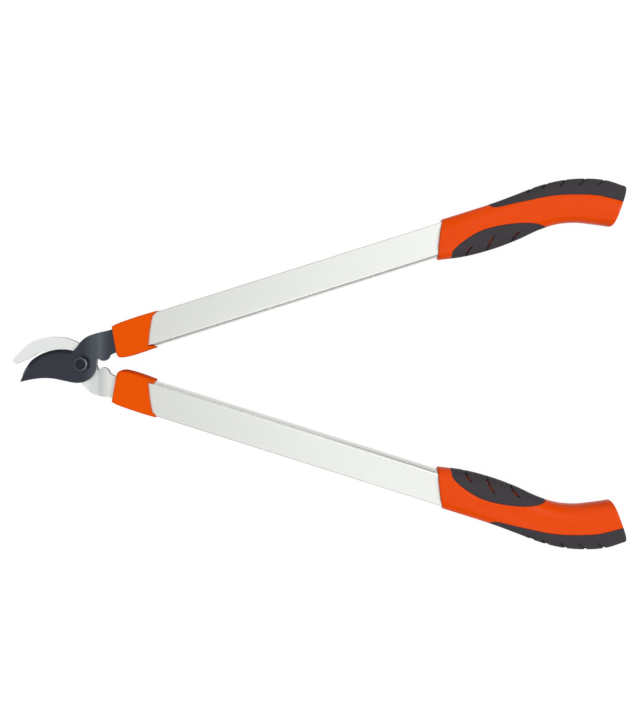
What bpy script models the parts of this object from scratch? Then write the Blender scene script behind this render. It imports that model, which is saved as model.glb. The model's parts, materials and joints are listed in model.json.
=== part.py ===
"""Bypass lopper with long aluminium handles, lying flat with its handles apart.

Each lever is modelled in a frame of its own: u runs along the handle from the pivot,
v points away from the other handle, and w points away from the other blade. Turning
that frame over about u gives the frame of the other lever, so both handles use the
same meshes. Sizes are in millimetres, and become metres where vertices are made.
"""
import math

import bmesh
import bpy
from mathutils import Vector

MM = 0.001
WELD = 0.01              # points nearer to each other than this are one
SMOOTH_ANGLE = 30        # degrees, edges less bent than this are shaded smooth

# Fits
GAP = 0.3                # between two pieces that touch
SHEAR_GAP = 0.3          # between the flat faces of the two blades

# How the levers lie, in degrees
HANDLE_ANGLE = 17.5      # each handle from the midline
CLOSING_ANGLE = 17.0     # travel of the blade lever until the stops meet

# Pivot
BOLT_RADIUS = 5.0
BUSH_WALL = 1.4
HEAD_FLATS = 17.0
HEAD_HEIGHT = 6.4
WASHER_RADIUS = 10.0
WASHER_THICK = 1.6
NUT_FLATS = 17.0
NUT_HEX_HEIGHT = 4.5
NUT_COLLAR_HEIGHT = 1.5
NUT_COLLAR_WALL = 2.2
HEX_CHAMFER = 1.0        # of the corners of the head and the nut
HEX_SIDE_POINTS = 4
HEAD_CROWN = 1.3         # the head's flat top begins this far inside its flats
BOLT_CHAMFER = 1.0       # of the bolt's end
BOLT_REACH = 2.65        # bolt end beyond the nut
ROUND_SIDES = 24
CORNER_STEPS = 4         # facets to a rounded corner of a tube
RIVET_SIDES = 12

# Blades and their tangs
BLADE_THICK = 4.0
HOOK_THICK = 5.0
EDGE_LAND = 0.25         # height of the cutting edge itself
HONE_WIDTH = 2.0
HONE_HEIGHT = 1.3
GRIND_WIDTH = 7.0
GRIND_TIP_RUN = 30.0     # the ground face widens over this run from the tip
GRIND_HEEL_RUN = 8.0
JOGGLE_START = 20.5      # the tangs are bent here, back to the middle of the tubes
JOGGLE_RUN = 12.0
JOGGLE_STEPS = 4         # facets to each bend
TANG_STRAIGHT = 42.0     # the tang's sides run parallel from here
TANG_SHOULDER = 3.5      # its inner side begins this much nearer to the stop
TANG_END = 96.0
TANG_INSET = 3.5         # outer side of both tangs inside the outer side of the tube
BLADE_TANG_WIDTH = 28.2
HOOK_TANG_WIDTH = 26.2
STOP_ALONG = 27.5
STOP_RADIUS = 7.5
STOP_LEAN = 0.7          # the blade's stop reaches further across than the hook's
BLADE_STOP_ROOT = 25.0   # degrees, where each stop's arc begins beside its hub
HOOK_STOP_ROOT = 12.0
STOP_FOOT = 25.0         # degrees, where the arcs meet the tangs
STOP_STEPS = 10
EDGE_STEPS = 4           # facets to a span of the cutting edge
CURVE_STEPS = 3          # the same for the other curves

# Handle tubes
TUBE_OFFSET = 12.8       # tube axis outward of the pivot
TUBE_START = 53.0
TUBE_LENGTH = 545.0
TUBE_WIDTH = 38.6
TUBE_THICK = 18.0
TUBE_WALL = 1.6
TUBE_OUTER_CORNER = 2.0  # rounding on the side away from the other handle
TUBE_INNER_CORNER = 3.6
INSERT_LENGTH = 48.0
RIVET_RADIUS = 3.0
RIVET_HEAD_RADIUS = 4.5
RIVET_HEAD_DEPTH = 1.5
RIVET_FIRST = 10.0       # from the tube's mouth
RIVET_PITCH = 14.0

# Collars over the mouths of the tubes
COLLAR_COVER = 3.5       # over the flat faces of the tube
COLLAR_ROUND = 2.8
COLLAR_INNER_ROUND = 6.5 # its inner side gets rounder than that towards the grip
COLLAR_ROUND_STEPS = 3

# Grips over the ends of the tubes
GRIP_COVER = 7.0         # over the flat faces of the tube
GRIP_MOUTH_COVER = 5.0   # the same, at the grip's mouth
GRIP_FULLNESS = 2.8      # exponent of the grip's section, 2 is an ellipse
GRIP_SIDES = 20
GRIP_DOME = 2.0          # how far the grip's end bulges
GRIP_END_ROUND = 3.2     # rounding of its rim
GRIP_MOUTH_SHARE = 0.14  # share of its length over which its mouth narrows
GRIP_MOUTH_ROUND = 1.6
MOUTH_TURNS = (90, 45)   # degrees, the rings of the mouth's rounding
END_TURNS = (35, 65, 90) # and those of its end
PAD_DEPTH = 1.0
PAD_LINE_STEPS = 2       # facets to a span of a pad's edge
SLOT_WIDTH = 1.5
SLOT_RUN_OUT = 2.5       # each slot runs on past the grip's side

# Outlines of the blades, as points of smooth curves in the lever's frame
CUTTING_EDGE = [(-77.0, 1.6), (-71.8, 10.4), (-66.4, 15.6), (-58.6, 21.6), (-47.6, 25.2),
                (-36.0, 26.4), (-24.5, 25.3), (-13.6, 21.8), (-5.6, 17.6)]
BLADE_SHOULDER = [(-5.6, 17.6), (0.6, 21.4), (5.6, 25.0), (11.5, 28.0), (18.5, 29.5),
                  (28.0, 29.7)]
BLADE_BELLY = [(17.1, -0.9), (15.6, -6.4), (12.2, -13.0), (5.9, -18.5), (-2.4, -21.2),
               (-11.4, -20.4), (-19.5, -16.8), (-28.3, -11.9), (-37.4, -6.8), (-49.2, -2.4),
               (-62.9, 0.3), (-77.0, 1.6)]
HOOK_BACK = [(17.8, -0.4), (15.5, -3.8), (14.6, -8.0), (12.6, -12.6), (7.4, -17.4), (-1.0, -20.4),
             (-11.4, -21.4), (-17.6, -22.4), (-28.2, -22.9), (-38.1, -21.1), (-47.5, -18.1),
             (-56.5, -13.5), (-64.9, -7.2), (-72.5, 2.2), (-78.6, 14.5), (-80.9, 19.4),
             (-80.2, 23.0), (-77.4, 25.2)]
HOOK_EDGE = [(-77.4, 25.2), (-75.4, 23.8), (-67.7, 17.0), (-59.7, 9.4), (-55.9, 5.2),
             (-48.4, 0.6), (-41.2, -3.0), (-33.7, -5.8), (-25.6, -7.2), (-18.6, -5.8)]
HOOK_SHOULDER = [(-18.6, -5.8), (-15.6, -1.0), (-14.2, 6.0), (-11.0, 12.0), (-5.5, 17.0),
                 (0.0, 20.3), (6.6, 23.5), (11.9, 27.0), (18.2, 30.0), (24.0, 31.1),
                 (31.0, 30.9)]

# Outline of the collar: along the tube from its mouth, and outward of the tube's side
COLLAR_OUTER = [(-4.2, -0.6), (3.0, 0.8), (17.0, 1.5), (36.0, 1.7), (51.0, 1.3)]
COLLAR_INNER = [(36.5, 1.9), (24.0, 2.3), (12.0, 2.4), (3.0, 1.9), (-3.5, 0.8)]
# and its nose and the scoop in its flat faces: along, and outward of the tube's axis
COLLAR_NOSE = [(-6.9, -18.6), (-8.3, -15.6), (-8.4, -12.1)]
COLLAR_SCOOP = [(54.0, 18.4), (50.0, 17.9), (46.4, 16.8), (43.2, 12.4), (37.2, 0.7), (34.0, -6.7),
                (31.5, -12.7), (30.4, -15.6), (31.2, -17.0), (34.0, -17.4), (42.0, -17.5)]

# Outline of the grip: along the tube from its end, and outward of the tube's side
GRIP_OUTER = [(-134.0, 3.4), (-104.0, 3.3), (-72.0, 3.5), (-42.0, 5.0), (-12.0, 6.7),
              (16.0, 4.7), (42.0, -1.5), (65.0, -10.9), (83.9, -24.1)]
GRIP_INNER = [(-154.0, 3.6), (-122.0, 8.9), (-89.0, 10.5), (-58.0, 8.9), (-30.0, 5.3),
              (-6.0, 5.3), (16.0, 10.1), (35.0, 18.1), (53.2, 26.8)]
# and the edges of its soft pads: along the tube from its end, and outward of its axis
STRIP_LINE = [(-80.5, 25.0), (-76.6, 19.6), (-72.8, 17.2), (-65.5, 15.8), (-52.0, 14.8),
              (-31.0, 12.6), (-16.0, 11.2), (-1.8, 8.9), (12.0, 5.6), (32.5, -0.9),
              (45.7, -6.1), (58.2, -13.2), (74.7, -23.6), (86.0, -31.4)]
PAD_LINE = [(-142.6, -32.0), (-140.9, -26.2), (-137.2, -18.9), (-128.4, -13.3), (-120.0, -9.9),
            (-103.0, -5.4), (-88.0, -4.6), (-73.5, -5.8), (-59.2, -8.2), (-45.3, -11.8),
            (-32.0, -17.0), (-20.0, -24.9), (-14.0, -32.0)]
# and the slots in the pads, each from its inner end to the grip's side
STRIP_SLOTS = [((-31.7, 21.8), (-21.4, 25.4)), ((-13.8, 21.3), (-2.6, 25.6)),
               ((6.8, 17.3), (19.7, 23.2)), ((27.4, 11.7), (43.2, 17.6)),
               ((47.6, 4.4), (64.2, 9.4))]
PAD_SLOTS = [((-113.2, -19.6), (-122.3, -28.6)), ((-83.8, -15.2), (-96.3, -29.3)),
             ((-53.3, -19.3), (-65.6, -28.4))]

TUBE_END = TUBE_START + TUBE_LENGTH
CLOSED_HALF_ANGLE = math.radians(HANDLE_ANGLE - CLOSING_ANGLE / 2)
BUSH_BORE = BOLT_RADIUS + GAP
BUSH_RADIUS = BUSH_BORE + BUSH_WALL
BLADE_BORE = BUSH_RADIUS + GAP
PLATE_FOOT = SHEAR_GAP / 2
TUBE_OUTER_SIDE = TUBE_OFFSET + TUBE_WIDTH / 2
TUBE_INNER_SIDE = TUBE_OFFSET - TUBE_WIDTH / 2
TANG_OUTER = TUBE_OUTER_SIDE - TANG_INSET

# Heights of the pivot's pieces below and above the plane where the blades meet
HEAD_SEAT = PLATE_FOOT + BLADE_THICK + GAP
WASHER_TOP = PLATE_FOOT + HOOK_THICK + GAP
NUT_TOP = WASHER_TOP + WASHER_THICK + GAP
NUT_FACE = NUT_TOP + NUT_HEX_HEIGHT + NUT_COLLAR_HEIGHT
SHEAR_HEIGHT = NUT_FACE + BOLT_REACH


def clear_scene():
    """Takes every object out of the open file."""
    for item in list(bpy.data.objects):
        bpy.data.objects.remove(item, do_unlink=True)


def material(name, colour, roughness, metallic):
    """Makes a Principled material of one colour."""
    result = bpy.data.materials.new(name)
    result.use_nodes = True
    shader = result.node_tree.nodes["Principled BSDF"]
    shader.inputs["Base Color"].default_value = (*colour, 1.0)
    shader.inputs["Roughness"].default_value = roughness
    shader.inputs["Metallic"].default_value = metallic
    result.diffuse_color = (*colour, 1.0)
    return result


def smooth_curve(points, steps):
    """Points of a smooth curve through all the given ones, with steps to a span."""
    knots = [Vector(p) for p in points]
    knots = [2 * knots[0] - knots[1]] + knots + [2 * knots[-1] - knots[-2]]
    curve = []
    for a, b, c, d in zip(knots, knots[1:], knots[2:], knots[3:]):
        for step in range(steps):
            t = step / steps
            curve.append(0.5 * ((2 * b) + (c - a) * t + (2 * a - 5 * b + 4 * c - d) * t ** 2
                                + (3 * b - a - 3 * c + d) * t ** 3))
    curve.append(knots[-2])
    return curve


def arc(centre, radius, start, end, steps):
    """Points on an arc, from one angle in degrees to another."""
    points = []
    for step in range(steps + 1):
        angle = math.radians(start + (end - start) * step / steps)
        points.append(Vector((centre[0] + radius * math.cos(angle),
                              centre[1] + radius * math.sin(angle))))
    return points


def counter_clockwise(outline):
    """The outline, turned so that it runs counter-clockwise."""
    area = sum(a[0] * b[1] - b[0] * a[1] for a, b in zip(outline, outline[1:] + outline[:1]))
    return outline if area > 0 else outline[::-1]


def without_doubles(outline):
    """The outline without points that lie on the one before them."""
    kept = []
    for index, point in enumerate(outline):
        if (Vector(point) - Vector(outline[index - 1])).length > WELD:
            kept.append(Vector(point))
    return kept


def add_object(name, mesh_data, lever, finish):
    """Puts a mesh into the scene under a lever's empty."""
    item = bpy.data.objects.new(name, mesh_data)
    bpy.context.scene.collection.objects.link(item)
    item.parent = lever
    if finish:
        item.data.materials.clear()
        item.data.materials.append(finish)
    return item


def finished_mesh(name, bm):
    """Turns a bmesh in millimetres into a closed mesh in metres, its faces outward."""
    bmesh.ops.remove_doubles(bm, verts=bm.verts, dist=WELD)
    bmesh.ops.recalc_face_normals(bm, faces=bm.faces)
    if bm.calc_volume(signed=True) < 0:
        bmesh.ops.reverse_faces(bm, faces=bm.faces)
    bmesh.ops.scale(bm, vec=(MM, MM, MM), verts=bm.verts)
    mesh_data = bpy.data.meshes.new(name)
    bm.to_mesh(mesh_data)
    bm.free()
    mesh_data.shade_smooth()
    mesh_data.set_sharp_from_angle(angle=math.radians(SMOOTH_ANGLE))
    return mesh_data


def loft(name, rings):
    """A closed mesh through rings of equally many points, with flat ends."""
    bm = bmesh.new()
    rows = [[bm.verts.new(point) for point in ring] for ring in rings]
    for row, after in zip(rows, rows[1:]):
        for index in range(len(row)):
            turn = (index + 1) % len(row)
            bm.faces.new((row[index], row[turn], after[turn], after[index]))
    bm.faces.new(rows[0][::-1])
    bm.faces.new(rows[-1])
    return finished_mesh(name, bm)


def prism(name, outline, low, high):
    """An outline in u and v, extruded between two heights."""
    outline = counter_clockwise(without_doubles(outline))
    rings = [[(p[0], p[1], height) for p in outline] for height in (low, high)]
    return loft(name, rings)


def circle(radius, height, sides=ROUND_SIDES, centre=(0, 0)):
    """A ring of points around w."""
    turns = [math.tau * (side + 0.5) / sides for side in range(sides)]
    return [(centre[0] + radius * math.cos(turn), centre[1] + radius * math.sin(turn), height)
            for turn in turns]


def turned(name, profile, sides=ROUND_SIDES, centre=(0, 0)):
    """A solid of revolution about w, from its radii and heights."""
    return loft(name, [circle(radius, height, sides, centre) for radius, height in profile])


def cutter(name, mesh_data, lever):
    """A hidden solid that only shapes others."""
    item = add_object(name, mesh_data, lever, None)
    item.hide_render = True
    item.display_type = 'WIRE'
    return item


def combine(item, tool, operation='DIFFERENCE'):
    """Cuts one solid with another, or keeps what they share."""
    step = item.modifiers.new(tool.name, 'BOOLEAN')
    step.operation = operation
    step.solver = 'EXACT'
    step.object = tool


def tube_ring(along, grow):
    """A ring around the tube's section, outside it by grow or inside it by as much."""
    half_width = TUBE_WIDTH / 2 + grow
    half_thick = TUBE_THICK / 2 + grow
    ring = []
    for side, up, start in ((1, 1, 0), (-1, 1, 90), (-1, -1, 180), (1, -1, 270)):
        radius = (TUBE_OUTER_CORNER if side > 0 else TUBE_INNER_CORNER) + grow
        centre = (side * (half_width - radius), up * (half_thick - radius))
        for point in arc(centre, radius, start, start + 90, CORNER_STEPS):
            ring.append((along, TUBE_OFFSET + point[0], point[1]))
    return ring


def tube_bar(name, start, end, grow):
    """A bar with the tube's section from one place to another, outside it or inside it by grow."""
    return loft(name, [tube_ring(start, grow), tube_ring(end, grow)])


def stop_arc(lean, root):
    """The bump on a tang's inner side that meets the other tang's when the tool is shut."""
    reach = GAP / 2 + STOP_RADIUS - STOP_ALONG * math.sin(CLOSED_HALF_ANGLE)
    centre = (STOP_ALONG, reach / math.cos(CLOSED_HALF_ANGLE) - lean)
    return arc(centre, STOP_RADIUS, 180 + root, 360 - STOP_FOOT, STOP_STEPS)


def tang_outline(width, lean, root):
    """The straight end of a tang with its stop, from its outer side round to its inner one."""
    inner = TANG_OUTER - width
    straight = [Vector((TANG_STRAIGHT, TANG_OUTER)), Vector((TANG_END, TANG_OUTER)),
                Vector((TANG_END, inner)), Vector((TANG_STRAIGHT - TANG_SHOULDER, inner))]
    return straight + stop_arc(lean, root)[::-1]


def bent_height(along, thick):
    """How far the joggle has brought a plate back at a place along it."""
    share = min(max((along - JOGGLE_START) / JOGGLE_RUN, 0.0), 1.0)
    eased = share * share * (3 - 2 * share)
    return -eased * (PLATE_FOOT + thick / 2)


def plate(name, outline, insets, thick):
    """A blade with its tang: a flat plate, ground where it has an inset, then joggled.

    The outline runs counter-clockwise, and each inset is how far the ground face
    reaches in from that point, as a share of its full width.
    """
    count = len(outline)
    inward = []
    for index in range(count):
        side = (outline[(index + 1) % count] - outline[index - 1]).normalized()
        inward.append(Vector((-side[1], side[0])))
    rings = []
    for width, height in ((0.0, 0.0), (0.0, EDGE_LAND), (HONE_WIDTH, HONE_HEIGHT), (GRIND_WIDTH, thick)):
        ring = []
        for point, normal, share in zip(outline, inward, insets):
            place = point + normal * width * share
            ring.append((place[0], place[1], PLATE_FOOT + height))
        rings.append(ring)
    mesh_data = loft(name, rings)
    bm = bmesh.new()
    bm.from_mesh(mesh_data)
    bmesh.ops.triangulate(bm, faces=bm.faces)
    for step in range(JOGGLE_STEPS + 1):
        along = JOGGLE_START + JOGGLE_RUN * step / JOGGLE_STEPS
        bmesh.ops.bisect_plane(bm, geom=bm.verts[:] + bm.edges[:] + bm.faces[:], dist=WELD * MM,
                               plane_co=(along * MM, 0, 0), plane_no=(1, 0, 0))
    for vert in bm.verts:
        vert.co.z += bent_height(vert.co.x / MM, thick) * MM
    bmesh.ops.triangulate(bm, faces=bm.faces)
    bm.to_mesh(mesh_data)
    bm.free()
    return mesh_data


def cutting_blade(lever, finish):
    """The curved blade, ground along its outer edge, with its shoulder and tang."""
    edge = smooth_curve(CUTTING_EDGE, EDGE_STEPS)
    belly = smooth_curve(BLADE_BELLY, CURVE_STEPS)
    shoulder = smooth_curve(BLADE_SHOULDER + [(TANG_STRAIGHT, TANG_OUTER)], CURVE_STEPS)
    tang = tang_outline(BLADE_TANG_WIDTH, STOP_LEAN, BLADE_STOP_ROOT)
    outline = edge[:-1] + shoulder[:-1] + tang + belly[:-1]
    runs = [0.0]
    for before, point in zip(edge, edge[1:]):
        runs.append(runs[-1] + (point - before).length)
    insets = [min(run / GRIND_TIP_RUN, (runs[-1] - run) / GRIND_HEEL_RUN, 1.0) for run in runs[:-1]]
    insets += [0.0] * (len(outline) - len(insets))
    outline.reverse()
    insets.reverse()
    return add_object("cutting_blade", plate("cutting_blade", outline, insets, BLADE_THICK), lever, finish)


def counter_blade(lever, finish):
    """The hook that holds the branch, with its shoulder and tang."""
    back = smooth_curve(HOOK_BACK, CURVE_STEPS)
    edge = smooth_curve(HOOK_EDGE, CURVE_STEPS)
    shoulder = smooth_curve(HOOK_SHOULDER + [(TANG_STRAIGHT, TANG_OUTER)], CURVE_STEPS)
    tang = tang_outline(HOOK_TANG_WIDTH, -STOP_LEAN, HOOK_STOP_ROOT)
    outline = edge[:-1] + shoulder[:-1] + tang + back[:-1]
    outline.reverse()
    insets = [0.0] * len(outline)
    return add_object("counter_blade", plate("counter_blade", outline, insets, HOOK_THICK), lever, finish)


def hexagon(flats, height):
    """A ring around a hexagon with two sides square to x, with a few points to a side."""
    corner_radius = flats / math.sqrt(3)
    corners = [Vector((corner_radius * math.cos(math.radians(30 + 60 * k)),
                       corner_radius * math.sin(math.radians(30 + 60 * k)))) for k in range(6)]
    ring = []
    for start, end in zip(corners, corners[1:] + corners[:1]):
        for step in range(HEX_SIDE_POINTS):
            place = start.lerp(end, step / HEX_SIDE_POINTS)
            ring.append((place[0], place[1], height))
    return ring


def hex_circle(radius, height):
    """A ring whose points lie over those of a hexagon."""
    return [(*(Vector(point[:2]).normalized() * radius), height) for point in hexagon(1.0, 0.0)]


def pivot_bolt(pivot, finish):
    """Hexagon bolt through both blades, its head over the cutting blade."""
    head_top = HEAD_SEAT + HEAD_HEIGHT
    rings = [hex_circle(BOLT_RADIUS - BOLT_CHAMFER, -SHEAR_HEIGHT),
             hex_circle(BOLT_RADIUS, BOLT_CHAMFER - SHEAR_HEIGHT),
             hex_circle(BOLT_RADIUS, HEAD_SEAT),
             hex_circle(HEAD_FLATS / 2, HEAD_SEAT),
             hexagon(HEAD_FLATS, HEAD_SEAT + HEX_CHAMFER / 2),
             hexagon(HEAD_FLATS, head_top - HEX_CHAMFER),
             hex_circle(HEAD_FLATS / 2 - HEAD_CROWN, head_top)]
    return add_object("pivot_bolt", loft("pivot_bolt", rings), pivot, finish)


def ring_piece(name, outer, inner, low, high, pivot, finish):
    """A washer or a sleeve around the bolt."""
    bm = bmesh.new()
    rows = [[bm.verts.new(point) for point in circle(radius, height)]
            for radius, height in ((outer, low), (outer, high), (inner, high), (inner, low))]
    for row, after in zip(rows, rows[1:] + rows[:1]):
        for index in range(ROUND_SIDES):
            turn = (index + 1) % ROUND_SIDES
            bm.faces.new((row[index], row[turn], after[turn], after[index]))
    return add_object(name, finished_mesh(name, bm), pivot, finish)


def pivot_nut(pivot, finish):
    """Thin self-locking nut under the hook, with a round collar at its free face."""
    hex_foot = -(NUT_TOP + NUT_HEX_HEIGHT)
    bore = BOLT_RADIUS + GAP
    rings = [hex_circle(bore + NUT_COLLAR_WALL - HEX_CHAMFER, -NUT_FACE),
             hex_circle(bore + NUT_COLLAR_WALL, HEX_CHAMFER - NUT_FACE),
             hex_circle(bore + NUT_COLLAR_WALL, hex_foot),
             hex_circle(NUT_FLATS / 2 - HEX_CHAMFER / 2, hex_foot),
             hexagon(NUT_FLATS, hex_foot + HEX_CHAMFER),
             hexagon(NUT_FLATS, -NUT_TOP - HEX_CHAMFER / 2),
             hex_circle(NUT_FLATS / 2, -NUT_TOP)]
    nut = add_object("pivot_nut", loft("pivot_nut", rings), pivot, finish)
    thread = turned("nut_thread", [(bore, -NUT_FACE - GAP), (bore, GAP - NUT_TOP)])
    combine(nut, cutter("nut_thread", thread, pivot))
    return nut


def rivet_profile(grow):
    """Radii and heights of a countersunk rivet across the tube, grown by a clearance."""
    face = TUBE_THICK / 2
    neck = face - RIVET_HEAD_DEPTH
    shank = RIVET_RADIUS + grow
    head = RIVET_HEAD_RADIUS + grow
    return [(head, grow - face), (shank, grow - neck), (shank, neck - grow), (head, face - grow)]


def rivet_places():
    """Where the two rivets cross each tube."""
    across = TANG_OUTER - BLADE_TANG_WIDTH / 2
    return [(TUBE_START + RIVET_FIRST + RIVET_PITCH * index, across) for index in range(2)]


def rivet_hole(name, centre, lever):
    """A cutter for a rivet's hole, wider than the rivet by the gap."""
    profile = rivet_profile(GAP)
    reach = TUBE_THICK
    profile = [(profile[0][0], -reach)] + profile + [(profile[-1][0], reach)]
    return cutter(name, turned(name, profile, RIVET_SIDES, centre), lever)


def handle(side, thick, width, lever, finishes):
    """Everything of one lever but its blade: tube, insert, rivets, collar and grip."""
    tube_name = side + "_tube"
    tube_form = tube_bar(tube_name, TUBE_START, TUBE_END, 0.0)
    tube = add_object(tube_name, tube_form, lever, finishes["aluminium"])
    hollow = tube_bar(tube_name + "_bore", TUBE_START - GAP, TUBE_END + GAP, -TUBE_WALL)
    combine(tube, cutter(tube_name + "_bore", hollow, lever))

    insert_start = TUBE_START + GAP
    insert_end = insert_start + INSERT_LENGTH
    insert_name = side + "_tang_insert"
    insert_form = tube_bar(insert_name, insert_start, insert_end, -TUBE_WALL - GAP)
    insert = add_object(insert_name, insert_form, lever, finishes["nylon"])
    inner = TANG_OUTER - width
    slot_start = TUBE_START - TUBE_WIDTH
    slot_outline = [(slot_start, inner - GAP), (TANG_END + GAP, inner - GAP),
                    (TANG_END + GAP, TANG_OUTER + GAP), (slot_start, TANG_OUTER + GAP)]
    slot_half = thick / 2 + GAP
    slot_form = prism(side + "_tang_slot", slot_outline, -slot_half, slot_half)
    slot = cutter(side + "_tang_slot", slot_form, lever)
    combine(insert, slot)

    blade = bpy.data.objects["cutting_blade" if side == "blade" else "counter_blade"]
    for index, centre in enumerate(rivet_places()):
        name = side + "_rivet_" + ("front", "rear")[index]
        add_object(name, turned(name, rivet_profile(0.0), RIVET_SIDES, centre), lever, finishes["steel"])
        hole = rivet_hole(name + "_hole", centre, lever)
        for item in (tube, insert, blade):
            combine(item, hole)

    collar(side, lever, slot, finishes["orange"])
    grip(side, lever, finishes)


def collar(side, lever, tang_slot, finish):
    """Moulded collar over the tube's mouth, closed in front but for the tang's slot."""
    name = side + "_collar"
    outer = [(TUBE_START + along, TUBE_OUTER_SIDE + out) for along, out in COLLAR_OUTER]
    inner = [(TUBE_START + along, TUBE_INNER_SIDE - out) for along, out in COLLAR_INNER]
    nose = [Vector((TUBE_START + along, TUBE_OFFSET + out)) for along, out in COLLAR_NOSE]
    outer = smooth_curve(outer, CURVE_STEPS)
    inner = smooth_curve(inner, CURVE_STEPS)
    outline = (outer + inner + nose)[::-1]
    rounder = [step / (len(inner) - 1) for step in range(len(inner))]
    rounds = [COLLAR_ROUND + (COLLAR_INNER_ROUND - COLLAR_ROUND) * share for share in rounder]
    rounds = [COLLAR_ROUND] * len(nose) + rounds + [COLLAR_ROUND] * len(outer)
    half = TUBE_THICK / 2 + COLLAR_COVER
    turns = [math.radians(90 * step / COLLAR_ROUND_STEPS) for step in range(COLLAR_ROUND_STEPS + 1)]
    layers = [(turn, -1) for turn in turns] + [(turn, 1) for turn in turns[::-1]]
    body = []
    for turn, way in layers:
        ring = []
        for index, radius in enumerate(rounds):
            before = (outline[index] - outline[index - 1]).normalized()
            after = (outline[(index + 1) % len(outline)] - outline[index]).normalized()
            side_way = (before + after).normalized()
            reach = radius * (1 - math.sin(turn)) / side_way.dot(before)
            place = outline[index] + Vector((-side_way[1], side_way[0])) * reach
            ring.append((place[0], place[1], way * (half - radius * (1 - math.cos(turn)))))
        body.append(ring)
    item = add_object(name, loft(name, body), lever, finish)

    beyond = TUBE_START + COLLAR_SCOOP[0][0] + TUBE_WIDTH
    cavity = tube_bar(name + "_cavity", TUBE_START - GAP, beyond, GAP)
    combine(item, cutter(name + "_cavity", cavity, lever))
    scoop_curve = smooth_curve(COLLAR_SCOOP, CURVE_STEPS)
    scoop = [(TUBE_START + along, TUBE_OFFSET + out) for along, out in scoop_curve]
    scoop += [(beyond, TUBE_INNER_SIDE - GAP), (beyond, TUBE_OUTER_SIDE + GAP)]
    combine(item, cutter(name + "_scoop", prism(name + "_scoop", scoop, -2 * half, 2 * half), lever))
    combine(item, tang_slot)
    return item


def grip_ring(step, inset, shrink, slide):
    """One section of the grip: a full rounded shape, smaller by shrink and slid along."""
    outer_curve = smooth_curve(GRIP_OUTER, CURVE_STEPS)
    inner_curve = smooth_curve(GRIP_INNER, CURVE_STEPS)
    outer = outer_curve[step] + Vector((TUBE_END, TUBE_OUTER_SIDE))
    inner = Vector((TUBE_END + inner_curve[step][0], TUBE_INNER_SIDE - inner_curve[step][1]))
    side = (outer - inner).normalized()
    middle = (outer + inner) / 2 + Vector((side[1], -side[0])) * slide
    width = (outer - inner).length / 2 - inset - shrink
    mouth = max(0.0, 1 - step / (len(outer_curve) - 1) / GRIP_MOUTH_SHARE)
    cover = GRIP_COVER - (GRIP_COVER - GRIP_MOUTH_COVER) * mouth ** 2
    thick = TUBE_THICK / 2 + cover - inset - shrink
    power = 2 / GRIP_FULLNESS
    level = math.cos(math.pi / GRIP_SIDES) ** power
    ring = []
    for side_step in range(GRIP_SIDES):
        turn = math.tau * (side_step + 0.5) / GRIP_SIDES
        across = math.copysign(abs(math.cos(turn)) ** power, math.cos(turn)) * width
        height = math.copysign(abs(math.sin(turn)) ** power / level, math.sin(turn)) * thick
        place = middle + side * across
        ring.append((place[0], place[1], height))
    return ring


def grip_form(name, inset):
    """The whole outer form of a grip, or the same form lying under its surface by inset."""
    last = (len(GRIP_OUTER) - 1) * CURVE_STEPS
    rings = []
    for turn in MOUTH_TURNS:
        inward = GRIP_MOUTH_ROUND * (1 - math.cos(math.radians(turn)))
        onward = GRIP_MOUTH_ROUND * math.sin(math.radians(turn))
        rings.append(grip_ring(0, inset, inward, inset - onward))
    middle = range(last + 1) if not inset else range(1, last)
    rings += [grip_ring(step, inset, 0.0, 0.0) for step in middle]
    for turn in END_TURNS:
        inward = GRIP_END_ROUND * (1 - math.cos(math.radians(turn)))
        onward = GRIP_DOME * math.sin(math.radians(turn))
        rings.append(grip_ring(last, inset, inward, onward - inset))
    return loft(name, rings)


def pad_outline(line, beyond, grow):
    """The region of a soft pad seen from above, grown by a clearance."""
    curve = smooth_curve([(TUBE_END + along, TUBE_OFFSET + out) for along, out in line], PAD_LINE_STEPS)
    moved = []
    for index, point in enumerate(curve):
        ahead = curve[min(index + 1, len(curve) - 1)] - curve[max(index - 1, 0)]
        outward = Vector((ahead[1], -ahead[0])).normalized()
        if beyond < 0:
            outward = -outward
        moved.append(point + outward * grow)
    first, last = moved[0], moved[-1]
    return moved + [Vector((last[0] + TUBE_THICK, last[1])),
                    Vector((last[0] + TUBE_THICK, TUBE_OFFSET + beyond)),
                    Vector((first[0], TUBE_OFFSET + beyond))]


def slot_bar(start, end):
    """The outline of a straight slot with pointed ends, from one place to another."""
    start = Vector((TUBE_END + start[0], TUBE_OFFSET + start[1]))
    end = Vector((TUBE_END + end[0], TUBE_OFFSET + end[1]))
    ahead = (end - start).normalized()
    end = end + ahead * SLOT_RUN_OUT
    side = Vector((-ahead[1], ahead[0])) * SLOT_WIDTH / 2
    return [start, start + ahead * SLOT_WIDTH - side, end - ahead * SLOT_WIDTH - side,
            end, end - ahead * SLOT_WIDTH + side, start + ahead * SLOT_WIDTH + side]


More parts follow.
